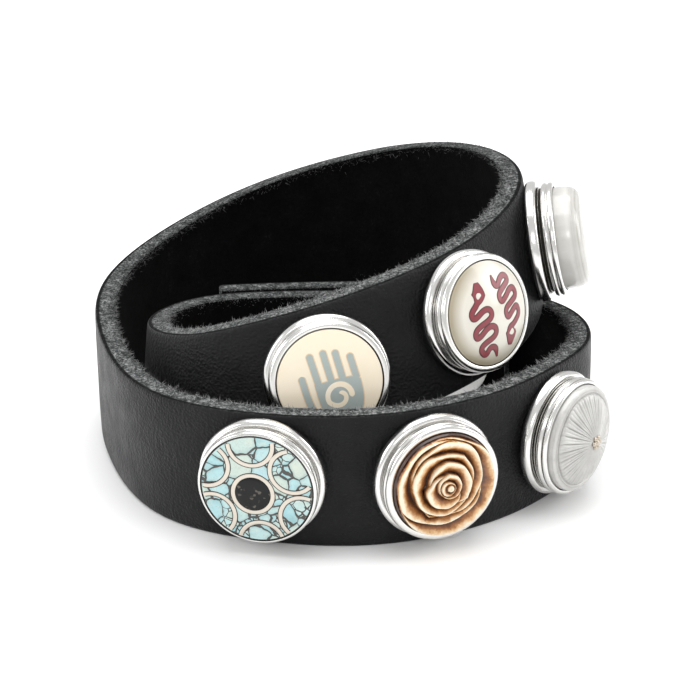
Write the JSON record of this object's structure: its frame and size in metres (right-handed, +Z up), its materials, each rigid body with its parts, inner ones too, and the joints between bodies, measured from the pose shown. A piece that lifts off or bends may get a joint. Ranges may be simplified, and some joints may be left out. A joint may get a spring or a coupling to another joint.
{
  "type": "wrap bracelet",
  "caption": "Double-wrap black leather bracelet, fastened and lying on its edge, with round snap charms in silver rings that turn on their studs",
  "frame": {"origin": "middle of the bounding box's bottom, on the surface that the bracelet lies on", "axes": "+Z is up, -Y is the front that the picture shows, +X is the picture's right"},
  "size_m": [0.082, 0.0844, 0.044],
  "materials": {
    "strap_leather": "satin, fine grain outside, napped inside",
    "polished_silver": "polished silver plating",
    "bezel_silver": "silver plating, slightly worn",
    "cream_enamel": "gloss, with a hand picture",
    "pearl_enamel": "pearly gloss, with two snakes",
    "pearl_glass": "gloss, pearly",
    "shell_mosaic": "gloss, chips of pale turquoise shell in dark resin",
    "silver_wire": "polished",
    "black_stone": "gloss",
    "carved_cream": "satin, darker in its hollows",
    "ribbed_silver": "satin",
    "pale_gold": "polished"
  },
  "bodies": {
    "band": {"strap": "strap_leather", "closure_stud": "polished_silver", "hand_base": "polished_silver", "snake_base": "polished_silver", "pearl_base": "polished_silver", "mosaic_base": "polished_silver", "rose_base": "polished_silver", "rib_base": "polished_silver"},
    "hand_charm": {"hand_bezel": "bezel_silver", "hand_disc": "cream_enamel"},
    "snake_charm": {"snake_bezel": "bezel_silver", "snake_disc": "pearl_enamel"},
    "pearl_charm": {"pearl_bezel": "bezel_silver", "pearl_dome": "pearl_glass"},
    "mosaic_charm": {"mosaic_bezel": "bezel_silver", "mosaic_disc": "shell_mosaic", "mosaic_ring": "silver_wire", "black_stone": "black_stone", "mosaic_arc_1": "silver_wire", "mosaic_arc_2": "silver_wire", "mosaic_arc_3": "silver_wire", "mosaic_arc_4": "silver_wire", "mosaic_arc_5": "silver_wire", "mosaic_arc_6": "silver_wire"},
    "rose_charm": {"rose_bezel": "bezel_silver", "rose_carving": "carved_cream"},
    "rib_charm": {"rib_bezel": "bezel_silver", "rib_dome": "ribbed_silver", "rib_knob": "pale_gold"}
  },
  "joints": [
    {"name": "hand_swivel", "type": "hinge", "parent": "band", "child": "hand_charm", "pos_m": [-0.00306, -0.02592, 0.02307], "axis": [0.1362, -0.9758, 0.1712], "continuous": true},
    {"name": "snake_swivel", "type": "hinge", "parent": "band", "child": "snake_charm", "pos_m": [0.01962, -0.01466, 0.02933], "axis": [0.6593, -0.7126, 0.2399], "continuous": true},
    {"name": "pearl_swivel", "type": "hinge", "parent": "band", "child": "pearl_charm", "pos_m": [0.03169, 0.00848, 0.0328], "axis": [0.9767, -0.1099, 0.1846], "continuous": true},
    {"name": "mosaic_swivel", "type": "hinge", "parent": "band", "child": "mosaic_charm", "pos_m": [-0.01292, -0.03759, 0.01131], "axis": [-0.23, -0.972, -0.0481], "continuous": true},
    {"name": "rose_swivel", "type": "hinge", "parent": "band", "child": "rose_charm", "pos_m": [0.01318, -0.03571, 0.01115], "axis": [0.391, -0.9204, -0.002], "continuous": true},
    {"name": "rib_swivel", "type": "hinge", "parent": "band", "child": "rib_charm", "pos_m": [0.0333, -0.01929, 0.01105], "axis": [0.8058, -0.5922, 0], "continuous": true}
  ]
}
